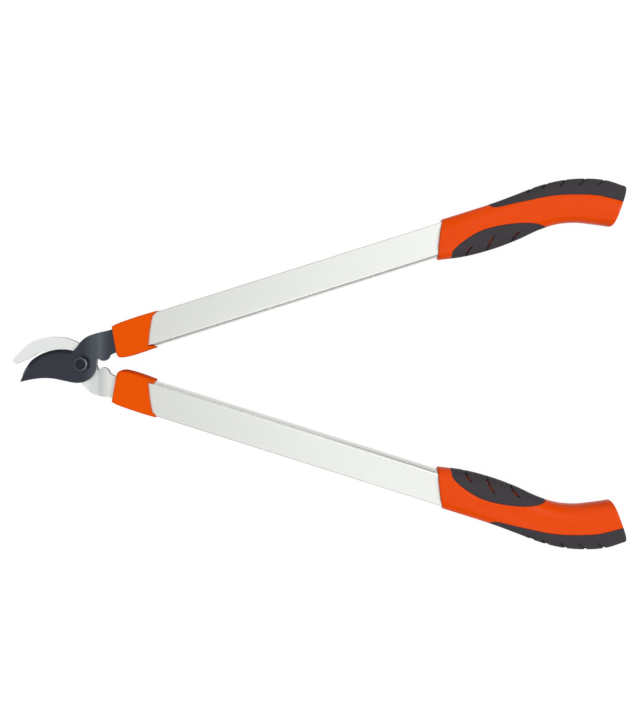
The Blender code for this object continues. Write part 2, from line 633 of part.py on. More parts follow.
def grip(side, lever, finishes):
    """Grip of hard plastic over the tube's end, with two soft pads let into it flush."""
    name = side + "_grip"
    body = add_object(name, grip_form(name, 0.0), lever, finishes["orange"])
    full = 2 * (TUBE_THICK + GRIP_COVER)
    pad_core = cutter(name + "_pad_core", grip_form(name + "_pad_core", PAD_DEPTH), lever)
    seat_core = cutter(name + "_seat_core", grip_form(name + "_seat_core", PAD_DEPTH + GAP), lever)
    reach = 2 * TUBE_WIDTH
    pads = (("_strip", STRIP_LINE, reach, STRIP_SLOTS), ("_pad", PAD_LINE, -reach, PAD_SLOTS))
    for ending, line, beyond, slots in pads:
        region = prism(name + ending + "_region", pad_outline(line, beyond, -GAP), -full, full)
        pad = add_object(name + ending, grip_form(name + ending, 0.0), lever, finishes["soft"])
        combine(pad, cutter(name + ending + "_region", region, lever), 'INTERSECT')
        combine(pad, pad_core)
        for index, (start, end) in enumerate(slots):
            slot_name = name + ending + "_slot_" + str(index + 1)
            bar = prism(slot_name, slot_bar(start, end), -full, full)
            combine(pad, cutter(slot_name, bar, lever))
        seat = prism(name + ending + "_seat", pad_outline(line, beyond, 0.0), -full, full)
        seat_cutter = cutter(name + ending + "_seat", seat, lever)
        combine(seat_cutter, seat_core)
        combine(body, seat_cutter)
    bore_start = TUBE_END + GRIP_INNER[0][0] - TUBE_WIDTH
    bore = tube_bar(name + "_bore", bore_start, TUBE_END + GAP, GAP)
    combine(body, cutter(name + "_bore", bore, lever))
    return body


def lever_frame(name, turned_over):
    """An empty on the pivot axis, where the blades meet, along one handle."""
    item = bpy.data.objects.new(name, None)
    bpy.context.scene.collection.objects.link(item)
    item.location = (0, 0, SHEAR_HEIGHT * MM)
    angle = math.radians(HANDLE_ANGLE)
    item.rotation_euler = (math.pi, 0, -angle) if turned_over else (0, 0, angle)
    return item


def main():
    """Builds the lopper."""
    clear_scene()
    finishes = {
        "coated": material("coated_steel", (0.045, 0.050, 0.060), 0.42, 0.3),
        "bare": material("bare_steel", (0.78, 0.80, 0.79), 0.30, 1.0),
        "steel": material("zinc_steel", (0.60, 0.61, 0.62), 0.35, 1.0),
        "aluminium": material("satin_aluminium", (0.86, 0.87, 0.87), 0.33, 1.0),
        "orange": material("orange_plastic", (0.80, 0.075, 0.008), 0.40, 0.0),
        "soft": material("soft_grey", (0.070, 0.062, 0.072), 0.62, 0.0),
        "nylon": material("nylon", (0.10, 0.10, 0.11), 0.5, 0.0),
        "bronze": material("bronze", (0.50, 0.32, 0.14), 0.35, 1.0),
    }
    pivot = bpy.data.objects.new("pivot", None)
    bpy.context.scene.collection.objects.link(pivot)
    pivot.location = (0, 0, SHEAR_HEIGHT * MM)
    blade_lever = lever_frame("blade_lever", False)
    hook_lever = lever_frame("hook_lever", True)

    blade = cutting_blade(blade_lever, finishes["coated"])
    hook = counter_blade(hook_lever, finishes["bare"])
    bore = turned("blade_bore", [(BLADE_BORE, -SHEAR_HEIGHT), (BLADE_BORE, SHEAR_HEIGHT)])
    bore_cutter = cutter("blade_bore", bore, pivot)
    combine(blade, bore_cutter)
    combine(hook, bore_cutter)

    pivot_bolt(pivot, finishes["coated"])
    ring_piece("pivot_bush", BUSH_RADIUS, BUSH_BORE, -WASHER_TOP + GAP, HEAD_SEAT - GAP,
               pivot, finishes["bronze"])
    ring_piece("pivot_washer", WASHER_RADIUS, BOLT_RADIUS + GAP, -WASHER_TOP - WASHER_THICK, -WASHER_TOP,
               pivot, finishes["steel"])
    pivot_nut(pivot, finishes["steel"])

    handle("blade", BLADE_THICK, BLADE_TANG_WIDTH, blade_lever, finishes)
    handle("hook", HOOK_THICK, HOOK_TANG_WIDTH, hook_lever, finishes)


main()
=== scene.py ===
"""Bypass lopper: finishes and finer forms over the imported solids, in a plain studio.

A lever's own frame has X along its handle from the pivot, Y away from the other handle
and Z away from the other blade. Both grips are the same mouldings, so each of their
forms is made once, in that frame and in millimetres, and placed on both levers.
"""
import json
import math

import bmesh
import bpy
from mathutils import Matrix, Vector


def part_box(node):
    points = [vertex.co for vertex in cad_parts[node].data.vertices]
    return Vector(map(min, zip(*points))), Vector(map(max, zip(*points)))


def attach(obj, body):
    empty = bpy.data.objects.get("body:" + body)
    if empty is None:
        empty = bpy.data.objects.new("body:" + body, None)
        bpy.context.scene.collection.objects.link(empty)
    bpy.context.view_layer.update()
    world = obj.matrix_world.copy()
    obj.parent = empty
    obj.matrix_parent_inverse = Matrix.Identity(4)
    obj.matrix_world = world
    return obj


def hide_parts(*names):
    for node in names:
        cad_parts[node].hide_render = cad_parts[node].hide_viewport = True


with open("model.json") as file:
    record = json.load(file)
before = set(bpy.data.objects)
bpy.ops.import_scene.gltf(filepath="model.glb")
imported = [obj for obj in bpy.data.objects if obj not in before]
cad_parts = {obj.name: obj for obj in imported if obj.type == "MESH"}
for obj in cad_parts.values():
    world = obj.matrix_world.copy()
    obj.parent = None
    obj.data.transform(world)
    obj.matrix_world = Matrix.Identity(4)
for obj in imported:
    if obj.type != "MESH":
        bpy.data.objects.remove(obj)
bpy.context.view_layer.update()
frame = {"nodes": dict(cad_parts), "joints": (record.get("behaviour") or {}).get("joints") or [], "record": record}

MM = 0.001
PIVOT = Vector(frame["joints"][0]["pos_m"])

# The camera, straight above, in millimetres
PIXEL = 1.2                  # size of one pixel at the height of the pivot
FRAME_PIXELS = (640, 727)
PIVOT_PIXEL = (83.0, 363.5)
FOOT_PIXEL = (320.0, 291.0)  # the point that the camera stands over
CAMERA_HEIGHT = 900.0
SENSOR = 36.0

# The lamps: towards each one, how bright it is, and how many degrees it is across
LAMPS = (("right_lamp", (0.55, 0.0, 0.83), 0.76, 14.0),
         ("near_lamp", (0.26, -0.59, 0.76), 0.26, 32.0),
         ("far_lamp", (0.30, 0.38, 0.88), 0.18, 28.0),
         ("low_lamp", (0.20, 0.83, 0.52), 0.24, 30.0))

# The room's light by direction: brightest overhead, dim along both sides and to the right
ROOM = (("Z", ((0.25, 0.02), (0.86, 1.11))),
        ("X", ((-0.25, 0.745), (0.02, 1.07), (0.12, 1.18), (0.28, 0.40))),
        ("Y", ((-0.62, 0.48), (-0.42, 1.12), (-0.20, 1.12), (0.0, 1.03), (0.34, 1.0), (0.58, 0.40))))

# How high the pale wall round the room reaches, as the upward share of a direction
WALL = (0.19, 0.25)

# The floor's paper: half its width in metres, how brightly it glows, and the glow's share in its look
PAPER_HALF = 4.0
PAPER_GLOW = 1.2
GLOW_SHARE = 0.8

# How the meshes are joined up and shaded
WELD = 0.00001               # metres between points of a solid that are one
FORM_WELD = 0.004            # the same for the grip's forms, in millimetres
FLAT_TURN = 0.5              # degrees between faces that become one
EASED_TURN = 38              # degrees between faces whose edge is eased
SHARP_TURN = 35              # degrees between faces whose edge is shaded sharp
MOULDED_SHARP_TURN = 48      # the same on the grips
TURNED_SHARP_TURN = 12       # the same on the bolt

# How far each handle lies from the midline, in degrees
HANDLE_ANGLE = 17.5
LEVERS = {
    "blade": Matrix.Translation(PIVOT) @ Matrix.Rotation(math.radians(HANDLE_ANGLE), 4, "Z"),
    "hook": (Matrix.Translation(PIVOT) @ Matrix.Rotation(math.radians(-HANDLE_ANGLE), 4, "Z")
             @ Matrix.Rotation(math.pi, 4, "X")),
}

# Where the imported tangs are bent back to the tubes' plane, and where the dressed ones are
PLATE_FOOT = 0.15            # from the plane between the plates to each plate
PLATE_THICK = {"blade": 4.0, "hook": 5.0}
PACKED_BEND = (20.5, 32.5)   # along the handle
BEND = {"blade": (16.8, 31.0), "hook": (16.8, 36.0)}    # along the midline between the handles
BEND_LEAN = 1.7              # above 1, a dressed bend is at its steepest before it is halfway
BEND_STEPS = 14
CUT_WITHIN = 0.000001        # metres within which a point lies on a cut
CREASE_TURN = 0.1            # degrees, a packed bend's creases turn less than this once straightened
UPRIGHT = 0.3                # faces that point up or down by less than this are a plate's edge

# Painted light round each tang's bend: the dark one is painted paler there, a painted highlight, and the bright
# one darker, a painted shade.
# The painting starts and ends over these stretches, in metres from the pivot, and this share of it is left behind
# the bend
TANG_BEND_LIGHT = {"blade": ((0.0, 0.016), (0.019, 0.034), 0.2),
             "hook": ((0.002, 0.012), (0.017, 0.028), 0.45)}

# The heel of the blade's ground face, from the pivot: it keeps its upper line over this stretch
HEEL = (-20.6, -12.4)
GROUND_LINE = 9.6
HEEL_TOP = 15.0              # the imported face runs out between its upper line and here
LEVEL_WITHIN = 0.01          # how far below the blade's flat top a point of the run-out may be

# The bolt's head, turned to a low crown: radius at the top of each cone and its slope in degrees
CROWN = ((6.2, 20.0), (7.7, 50.0))
CROWN_SIDES = 64
CROWN_DEEPER = 4.0           # how far the cones reach below the bolt
RING_FACING = (0.88, 0.97)   # how far up the faces of the upper cone point, the faces that get a painted highlight

# The tube, whose corners are crisper on the outer side and softer on the inner side
PACKED_CORNER = {1: 2.0, -1: 3.6}
CORNER = {1: 0.8, -1: 5.4}
ON_ARC = 0.02                # a point this near a packed corner's arc is on it, as a share of its radius
IN_QUARTER = -0.001          # and it lies in the corner's quarter, give or take this share
TUBE_OFFSET = 12.8           # from the line through the pivot to the tube's middle line
TUBE_END = 598.0
TUBE_WIDTH = 38.6
TUBE_THICK = 18.0

# The grip's sides: along the handle from the tube's end, and outward from the tube's sides
GRIP_OUTER = [(-134.0, 3.4), (-104.0, 3.3), (-72.0, 3.5), (-42.0, 5.0), (-12.0, 6.7),
              (16.0, 4.7), (42.0, -1.5), (65.0, -10.9), (83.9, -24.1)]
GRIP_INNER = [(-154.0, 3.6), (-122.0, 8.9), (-89.0, 10.5), (-58.0, 8.9), (-30.0, 5.3),
              (-6.0, 5.3), (16.0, 10.1), (35.0, 18.1), (53.2, 26.8)]

# Where the soft pieces end, and their slots: along the handle from the tube's end, and outward
# from the tube's middle line
STRIP_LINE = [(-80.5, 25.0), (-76.6, 19.6), (-72.8, 17.2), (-65.5, 15.8), (-52.0, 14.8),
              (-31.0, 12.6), (-16.0, 11.2), (-1.8, 8.9), (12.0, 5.6), (32.5, -0.9),
              (45.7, -6.1), (58.2, -13.2), (74.7, -23.6), (86.0, -31.4)]
PAD_LINE = [(-142.6, -32.0), (-140.9, -26.2), (-137.2, -18.9), (-128.4, -13.3), (-120.0, -9.9),
            (-103.0, -5.4), (-88.0, -4.6), (-73.5, -5.8), (-59.2, -8.2), (-45.3, -11.8),
            (-32.0, -17.0), (-20.0, -24.9), (-14.0, -32.0)]
STRIP_SLOTS = [((-31.7, 21.8), (-21.4, 25.4)), ((-13.8, 21.3), (-2.6, 25.6)),
               ((6.8, 17.3), (19.7, 23.2)), ((27.4, 11.7), (43.2, 17.6)),
               ((47.6, 4.4), (64.2, 9.4))]
PAD_SLOTS = [((-113.2, -19.6), (-122.3, -28.6)), ((-83.8, -15.2), (-96.3, -29.3)),
             ((-53.3, -19.3), (-65.6, -28.4))]

# The grip's form
SIDE_STEPS = 30              # points to a span of the grip's sides
LINE_STEPS = 8               # and of the lines where the soft pieces end
RIB_REACH = 0.2              # share of a slice's width by which such a line may pass the slice's end
PARALLEL = 1e-9              # where a slice and such a line don't meet
LEAST_SHARE = 0.001          # share of a slice's width below which a soft piece isn't there
LEVEL_SINE = 1e-6            # of a turn, below which a point is level with the slice's middle
PROBE_TURN = 0.01            # radians, the step by which a turn's length is measured
LEAST_LENGTH = 1e-4          # and the least length that it has
GRIP_COVER = 7.0             # thickness of the grip over the tube's flats, less at its mouth
GRIP_MOUTH_COVER = 5.0
GRIP_MOUTH_SHARE = 0.14      # share of the grip over which it gets thicker
GRIP_FULLNESS = 2.8          # of its section: 2 is an ellipse, more is squarer
GRIP_DOME = 2.0
GRIP_END_ROUND = 3.2
END_TURNS = (20, 40, 60, 75, 90)         # degrees, the slices that round the end
END_FLATTENS = (0.75, 0.5, 0.25, 0.0)    # how thick the slices are that close the end
MOUTH_ROUND = 1.6
MOUTH_TURNS = (90, 60, 30)               # degrees, the slices that round the mouth
MOUTH_BULGE = 1.5            # the mouth's edge bows out by this much in its middle
BULGE_SHARE = 0.08           # share of the grip over which the bow fades
GRIP_RINGS = 96
FINEST_RING = 0.0005         # share of the grip between its closest slices, where a pad begins
TURN_STEP = 0.06             # radians by which a pad may widen from one slice to the next
STRIP_ROWS = 9
BODY_ROWS = 14
PAD_ROWS = 12
PAD_END = 0.9                # share of the grip past which it has no pad
PAD_DEPTH = 1.0
STRIP_DEEPER = 1.3           # the strip and the pad are this much thicker where their slots are
PAD_DEEPER = 2.8
STRIP_THICKENS = ((0.36, 0.44), (0.98, 0.92))    # shares of the grip over which they get thicker
PAD_THICKENS = (0.06, 0.12)
SIDE_GROOVE = 0.6            # depth of the slots at the grip's side
GROOVE_FLOOR = 0.4           # soft material left under the strip's slots
SIDE_TURN = 0.12             # radians, the slots get deeper between these two turns
TOP_TURN = 0.32
SEAT_GAP = 0.3
LIP = 0.5                    # how wide the edges are rounded where soft and hard plastic meet
LIP_DEPTH = 0.3              # and how deep
PARTING = 0.18               # half the groove between them
LEAST_EDGE = 0.002           # radians, the narrowest that a soft piece gets where it begins
LEAST_FACE = 0.001           # and its face inside the rounding
STRIP_SLOT_WIDTH = 2.2
PAD_SLOT_WIDTH = 2.0
PAD_SLOT_BOW = 1.8           # the pad's slots are bowed by this much towards the blades
SLOT_RUN_OUT = 2.5           # how far a slot runs on past its outer end
SLOT_STEPS = 10
SLOT_SQUARENESS = 5          # of a slot's round ends: 2 is an ellipse, more is squarer
SLOT_TAPER = 0.98            # below 1, so that the ends keep a little width
CORE_ROWS = 64
BORE_LENGTH = 220.0          # the room for the tube inside the grip
BORE_GAP = 0.3
BORE_CORNER = 2.3


def linear(code):
    """A colour from its sRGB hex code, as Blender's shaders want it."""
    channels = [int(code[place:place + 2], 16) / 255 for place in (1, 3, 5)]
    return (*(c / 12.92 if c <= 0.04045 else ((c + 0.055) / 1.055) ** 2.4 for c in channels), 1.0)


def per_metre(size):
    """The scale of a noise whose features are this many millimetres apart."""
    return 1000.0 / size


def add(tree, kind, sockets=None, **settings):
    """Adds a node, sets its properties, and fills its sockets with values or links."""
    made = tree.nodes.new(kind)
    for name, value in settings.items():
        setattr(made, name, value)
    for name, value in (sockets or {}).items():
        if isinstance(value, bpy.types.NodeSocket):
            tree.links.new(value, made.inputs[name])
        else:
            made.inputs[name].default_value = value
    return made


def new_material(name, code, metallic, roughness):
    """A Principled material with its plain values, its node tree and its shader."""
    made = bpy.data.materials.new(name)
    made.use_nodes = True
    shader = made.node_tree.nodes["Principled BSDF"]
    shader.inputs["Base Color"].default_value = linear(code)
    shader.inputs["Metallic"].default_value = metallic
    shader.inputs["Roughness"].default_value = roughness
    return made, made.node_tree, shader


def surface(tree, shader, pattern, dark, light, smooth, rough, depth):
    """Lets one pattern vary the colour and roughness of a finish, and lift its surface."""
    shades = add(tree, "ShaderNodeMix", {"Factor": pattern}, data_type="RGBA")
    shades.inputs["A"].default_value = linear(dark)
    shades.inputs["B"].default_value = linear(light)
    tree.links.new(shades.outputs["Result"], shader.inputs["Base Color"])
    gloss = add(tree, "ShaderNodeMapRange", {"Value": pattern, "To Min": smooth, "To Max": rough})
    tree.links.new(gloss.outputs["Result"], shader.inputs["Roughness"])
    lift = add(tree, "ShaderNodeBump", {"Height": pattern, "Distance": depth * MM, "Strength": 1.0})
    tree.links.new(lift.outputs["Normal"], shader.inputs["Normal"])


def along_handle(tree, side, squeeze):
    """Object coordinates turned along a handle, squeezed along it so that a noise streaks."""
    coords = add(tree, "ShaderNodeTexCoord")
    turn = math.radians(HANDLE_ANGLE if side == "blade" else -HANDLE_ANGLE)
    return add(tree, "ShaderNodeMapping", {"Vector": coords.outputs["Object"], "Rotation": (0, 0, -turn),
                                           "Scale": (squeeze, 1.0, 1.0)}, vector_type="POINT")


def bend_share(tree, rise, fall, end):
    """Rises to 1 at the bend of a tang and falls to an end value behind it, in metres from the pivot."""
    coords = add(tree, "ShaderNodeTexCoord")
    along = add(tree, "ShaderNodeSeparateXYZ", {"Vector": coords.outputs["Object"]}).outputs["X"]
    before = add(tree, "ShaderNodeMapRange", {"Value": along, "From Min": rise[0], "From Max": rise[1]},
                 interpolation_type="SMOOTHSTEP")
    behind = add(tree, "ShaderNodeMapRange", {"Value": along, "From Min": fall[0], "From Max": fall[1],
                                              "To Min": 1.0, "To Max": end},
                 interpolation_type="SMOOTHSTEP")
    return add(tree, "ShaderNodeMath", {0: before.outputs["Result"], 1: behind.outputs["Result"]},
               operation="MULTIPLY").outputs["Value"]


def paint_over(tree, shader, share, code):
    """Mixes another colour over a finish where a share says so; here it paints light and shade round the tangs'
    bends.
    """
    under = shader.inputs["Base Color"].links[0].from_socket
    over = add(tree, "ShaderNodeMix", {"Factor": share}, data_type="RGBA")
    tree.links.new(under, over.inputs["A"])
    over.inputs["B"].default_value = linear(code)
    tree.links.new(over.outputs["Result"], shader.inputs["Base Color"])


def coated_steel():
    """Tool steel under a baked low-friction coating: near black, bluish, with a paler band painted round the bend
    as a painted highlight.
    """
    made, tree, shader = new_material("coated_steel", "#0b0c10", 0.0, 0.36)
    shader.inputs["Specular IOR Level"].default_value = 0.75
    shader.inputs["Specular Tint"].default_value = linear("#dce4ff")
    coords = add(tree, "ShaderNodeTexCoord")
    grain = add(tree, "ShaderNodeTexNoise", {"Vector": coords.outputs["Object"], "Scale": per_metre(1.6),
                                             "Detail": 5.0, "Roughness": 0.65})
    surface(tree, shader, grain.outputs["Fac"], "#090a0d", "#0f1014", 0.32, 0.42, 0.02)
    # painted highlight: the tang is painted paler round its bend
    paint_over(tree, shader, bend_share(tree, *TANG_BEND_LIGHT["blade"]), "#3f4548")
    return made


def side_shade_steel():
    """Dull dark grey steel, torn across, on the hook's upright sides: painted shade along the hook's edges."""
    made, tree, shader = new_material("side_shade_steel", "#5c6262", 0.5, 0.5)
    coords = add(tree, "ShaderNodeTexCoord")
    tears = add(tree, "ShaderNodeTexNoise", {"Vector": coords.outputs["Object"], "Scale": per_metre(0.7),
                                             "Detail": 4.0})
    surface(tree, shader, tears.outputs["Fac"], "#4e5454", "#6c7272", 0.42, 0.6, 0.03)
    return made


def blackened_steel():
    """The pivot bolt: steel blackened in hot oil, darker and smoother than the coated blade."""
    made, tree, shader = new_material("blackened_steel", "#07080b", 0.0, 0.3)
    shader.inputs["Specular IOR Level"].default_value = 0.42
    shader.inputs["Specular Tint"].default_value = linear("#dce8ff")
    coords = add(tree, "ShaderNodeTexCoord")
    grain = add(tree, "ShaderNodeTexNoise", {"Vector": coords.outputs["Object"], "Scale": per_metre(0.9),
                                             "Detail": 3.0})
    surface(tree, shader, grain.outputs["Fac"], "#05060a", "#0a0b10", 0.26, 0.36, 0.01)
    return made


def ring_highlight_steel():
    """A dark grey metal, brighter than the black: a painted highlight on the bolt head's upper cone."""
    made, tree, shader = new_material("ring_highlight_steel", "#565a61", 0.7, 0.36)
    coords = add(tree, "ShaderNodeTexCoord")
    ring_noise = add(tree, "ShaderNodeTexNoise", {"Vector": coords.outputs["Object"], "Scale": per_metre(0.8),
                                            "Detail": 3.0})
    surface(tree, shader, ring_noise.outputs["Fac"], "#484c53", "#666b73", 0.3, 0.44, 0.01)
    return made


def plated_steel():
    """Forged steel with a satin nickel plate: very light, with painted shade making it a little darker along the
    tang.
    """
    made, tree, shader = new_material("plated_steel", "#f1f3f1", 0.42, 0.42)
    coords = add(tree, "ShaderNodeTexCoord")
    cloud = add(tree, "ShaderNodeTexNoise", {"Vector": coords.outputs["Object"], "Scale": per_metre(9.0),
                                             "Detail": 6.0, "Roughness": 0.7})
    surface(tree, shader, cloud.outputs["Fac"], "#eef2ef", "#f6f7f5", 0.38, 0.48, 0.02)
    # painted shade: the tang is painted a little darker round and behind its bend
    paint_over(tree, shader, bend_share(tree, *TANG_BEND_LIGHT["hook"]), "#dfe4e1")
    return made


def zinc_plate():
    """Bright zinc on machined steel."""
    made, tree, shader = new_material("zinc_plate", "#c4c7c9", 1.0, 0.34)
    coords = add(tree, "ShaderNodeTexCoord")
    spangle = add(tree, "ShaderNodeTexNoise", {"Vector": coords.outputs["Object"],
                                               "Scale": per_metre(1.2), "Detail": 4.0})
    surface(tree, shader, spangle.outputs["Fac"], "#b4b7ba", "#d2d4d5", 0.28, 0.42, 0.01)
    return made


def satin_aluminium(side):
    """Extruded aluminium, brushed along its length and clear anodised: pale, soft streaks."""
    made, tree, shader = new_material("satin_aluminium_" + side, "#e2e4e3", 1.0, 0.34)
    turned = along_handle(tree, side, 0.02)
    # brushing is finer than a tenth of a millimetre, drawn here about 1.5 mm wide so that it shows
    brushing = add(tree, "ShaderNodeTexNoise", {"Vector": turned.outputs["Vector"],
                                                "Scale": per_metre(1.5), "Detail": 6.0, "Roughness": 0.6})
    surface(tree, shader, brushing.outputs["Fac"], "#d8dad6", "#dee0dc", 0.32, 0.37, 0.003)
    return made


def orange_nylon(name, dark, light, gloss, smooth, rough, grit):
    """Glass-filled nylon from a spark-eroded mould: saturated orange, fine even grain."""
    made, tree, shader = new_material(name, light, 0.0, smooth)
    shader.inputs["Specular IOR Level"].default_value = gloss
    coords = add(tree, "ShaderNodeTexCoord")
    grain = add(tree, "ShaderNodeTexNoise", {"Vector": coords.outputs["Object"], "Scale": per_metre(0.7),
                                             "Detail": 2.0})
    surface(tree, shader, grain.outputs["Fac"], dark, light, smooth, rough, grit)
    return made


def soft_rubber():
    """Thermoplastic rubber moulded over the grip: dark warm grey, matt and slightly grained."""
    made, tree, shader = new_material("soft_rubber", "#444045", 0.0, 0.62)
    shader.inputs["Specular IOR Level"].default_value = 0.1
    coords = add(tree, "ShaderNodeTexCoord")
    grain = add(tree, "ShaderNodeTexNoise", {"Vector": coords.outputs["Object"], "Scale": per_metre(0.9),
                                             "Detail": 3.0, "Roughness": 0.6})
    surface(tree, shader, grain.outputs["Fac"], "#3e3a3f", "#4a464a", 0.55, 0.72, 0.05)
    return made


def dark_nylon():
    """Plain black nylon, as moulded."""
    made, tree, shader = new_material("dark_nylon", "#242427", 0.0, 0.5)
    coords = add(tree, "ShaderNodeTexCoord")
    grain = add(tree, "ShaderNodeTexNoise", {"Vector": coords.outputs["Object"], "Scale": per_metre(0.8)})
    surface(tree, shader, grain.outputs["Fac"], "#202023", "#2a2a2e", 0.42, 0.58, 0.02)
    return made


def oiled_bronze():
    """Sintered bearing bronze, dull and porous."""
    made, tree, shader = new_material("oiled_bronze", "#a9804a", 1.0, 0.4)
    coords = add(tree, "ShaderNodeTexCoord")
    pores = add(tree, "ShaderNodeTexNoise", {"Vector": coords.outputs["Object"], "Scale": per_metre(0.5),
                                             "Detail": 4.0})
    surface(tree, shader, pores.outputs["Fac"], "#8f6a3a", "#b98f58", 0.34, 0.5, 0.01)
    return made


def new_piece(name, bm, material, sharp=SHARP_TURN):
    """Makes a mesh object at the origin, shaded smooth between its sharp edges."""
    data = bpy.data.meshes.new(name)
    bm.to_mesh(data)
    bm.free()
    data.shade_smooth()
    data.set_sharp_from_angle(angle=math.radians(sharp))
    if material:
        data.materials.append(material)
    made = bpy.data.objects.new(name, data)
    bpy.context.scene.collection.objects.link(made)
    return made


def settled(piece):
    """Bakes a piece's modifiers into its mesh."""
    bpy.context.view_layer.update()
    shaped = piece.evaluated_get(bpy.context.evaluated_depsgraph_get())
    data = bpy.data.meshes.new_from_object(shaped)
    piece.modifiers.clear()
    piece.data = data
    return piece


def body_of(node):
    """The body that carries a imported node."""
    bodies = frame["record"]["behaviour"]["bodies"]
    return next(name for name, nodes in bodies.items() if node in nodes)


def eased_copy(node, name, material, easing, reshape=None, sharp=SHARP_TURN):
    """A node's own solid, reshaped where needed, with its flats joined up and its sharp edges eased."""
    bm = bmesh.new()
    bm.from_mesh(frame["nodes"][node].data)
    bmesh.ops.remove_doubles(bm, verts=bm.verts, dist=WELD)
    if reshape:
        reshape(bm)
    bmesh.ops.dissolve_limit(bm, angle_limit=math.radians(FLAT_TURN), verts=bm.verts, edges=bm.edges)
    if easing:
        rims = [edge for edge in bm.edges if len(edge.link_faces) == 2
                and edge.calc_face_angle() > math.radians(EASED_TURN)]
        bmesh.ops.bevel(bm, geom=rims, offset=easing * MM, offset_type="OFFSET", affect="EDGES",
                        segments=2, profile=0.5, material=-1, clamp_overlap=True)
    piece = new_piece(name, bm, material, sharp)
    flats = piece.modifiers.new("flats", "WEIGHTED_NORMAL")
    flats.keep_sharp = True
    settled(piece)
    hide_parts(node)
    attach(piece, body_of(node))
    return piece


def smooth_curve(points, steps):
    """Points of a smooth curve through all the given ones, with steps to a span."""
    knots = [Vector(p) for p in points]
    knots = [2 * knots[0] - knots[1]] + knots + [2 * knots[-1] - knots[-2]]
    curve = []
    for a, b, c, d in zip(knots, knots[1:], knots[2:], knots[3:]):
        for step in range(steps):
            t = step / steps
            curve.append(0.5 * ((2 * b) + (c - a) * t + (2 * a - 5 * b + 4 * c - d) * t ** 2
                                + (3 * b - a - 3 * c + d) * t ** 3))
    curve.append(knots[-2])
    return curve


def place_on(curve, share):
    """The point at a share of the way through a list of points."""
    place = share * (len(curve) - 1)
    before = min(int(place), len(curve) - 2)
    return curve[before].lerp(curve[before + 1], place - before)


OUTER_CURVE = smooth_curve([(TUBE_END + a, TUBE_OFFSET + TUBE_WIDTH / 2 + b) for a, b in GRIP_OUTER],
                           SIDE_STEPS)
INNER_CURVE = smooth_curve([(TUBE_END + a, TUBE_OFFSET - TUBE_WIDTH / 2 - b) for a, b in GRIP_INNER],
                           SIDE_STEPS)
STRIP_CURVE = smooth_curve([(TUBE_END + a, TUBE_OFFSET + b) for a, b in STRIP_LINE], LINE_STEPS)
PAD_CURVE = smooth_curve([(TUBE_END + a, TUBE_OFFSET + b) for a, b in PAD_LINE], LINE_STEPS)


def crossing(curve, start, end):
    """The share of the way from start to end at which a curve is met, or nothing."""
    rib = end - start
    for a, b in zip(curve, curve[1:]):
        step = b - a
        across = rib.cross(step)
        if abs(across) > PARALLEL:
            on_rib = (a - start).cross(step) / across
            on_curve = (a - start).cross(rib) / across
            if -RIB_REACH <= on_rib <= 1 + RIB_REACH and 0.0 <= on_curve <= 1.0:
                return min(max(on_rib, 0.0), 1.0)
    return None


def ramp(value, start, end):
    """Rises from 0 to 1 as the value goes from start to end."""
    return min(max((value - start) / (end - start), 0.0), 1.0)


class Section:
    """One slice of the grip: its two ends, its rounding, and the turns where the soft pieces end."""

    def __init__(self, share, inward=0.0, onward=0.0, flatten=1.0):
        self.share = share
        self.outer = place_on(OUTER_CURVE, share)
        self.inner = place_on(INNER_CURVE, share)
        self.inward = inward
        self.onward = onward
        self.flatten = flatten
        self.bulge = MOUTH_BULGE * ramp(share, BULGE_SHARE, 0.0)
        mouth = max(0.0, 1 - share / GRIP_MOUTH_SHARE)
        self.cover = GRIP_COVER - (GRIP_COVER - GRIP_MOUTH_COVER) * mouth ** 2
        front, rear = STRIP_THICKENS
        self.strip_depth = PAD_DEPTH + STRIP_DEEPER * ramp(share, *front) * ramp(share, *rear)
        self.pad_depth = PAD_DEPTH + PAD_DEEPER * ramp(share, *PAD_THICKENS)
        self.strip = self.turn_of(crossing(STRIP_CURVE, self.outer, self.inner))
        self.pad = self.turn_of(crossing(PAD_CURVE, self.inner, self.outer))
        if share > PAD_END:
            self.pad = 0.0

    def turn_of(self, share):
        """The turn from one end of the section at which a share of its width is passed."""
        if share is None or share <= LEAST_SHARE:
            return 0.0
        across = 1 - 2 * share
        return math.acos(math.copysign(abs(across) ** (GRIP_FULLNESS / 2), across))

    def point(self, turn, inset):
        """A point of the slice, in millimetres, by its turn from the outer side."""
        side = (self.outer - self.inner).normalized()
        ahead = Vector((side[1], -side[0]))
        further = self.onward - (inset if self.onward > 0 else 0)
        middle = (self.outer + self.inner) / 2 + ahead * further
        width = (self.outer - self.inner).length / 2 - inset - self.inward
        thick = (TUBE_THICK / 2 + self.cover - inset - self.inward) * self.flatten
        power = 2 / GRIP_FULLNESS
        across = math.copysign(abs(math.cos(turn)) ** power, math.cos(turn)) * width
        height = math.copysign(abs(math.sin(turn)) ** power, math.sin(turn)) * thick
        if abs(math.sin(turn)) < LEVEL_SINE:
            height = 0.0
        bowed = self.bulge * (1 - math.cos(turn) ** 2)
        place = middle + side * across - ahead * bowed
        return Vector((place[0], place[1], height))

    def strip_groove(self, turn):
        """How deep a slot in the strip is, at a turn from the outer side."""
        away = min(turn, math.tau - turn)
        deep = self.strip_depth - GROOVE_FLOOR
        return min(SIDE_GROOVE, deep) + max(deep - SIDE_GROOVE, 0.0) * ramp(away, SIDE_TURN, TOP_TURN)

    def pad_groove(self, turn):
        """How deep a slot in the pad is: right through it but at the inner side."""
        away = abs(turn - math.pi)
        return SIDE_GROOVE + (self.pad_depth + SEAT_GAP) * ramp(away, SIDE_TURN, TOP_TURN)

    def angle_for(self, turn, length):
        """The change of turn that moves a point this far over the surface."""
        moved = self.point(turn + PROBE_TURN, 0.0) - self.point(turn, 0.0)
        return length * PROBE_TURN / max(moved.length, LEAST_LENGTH)


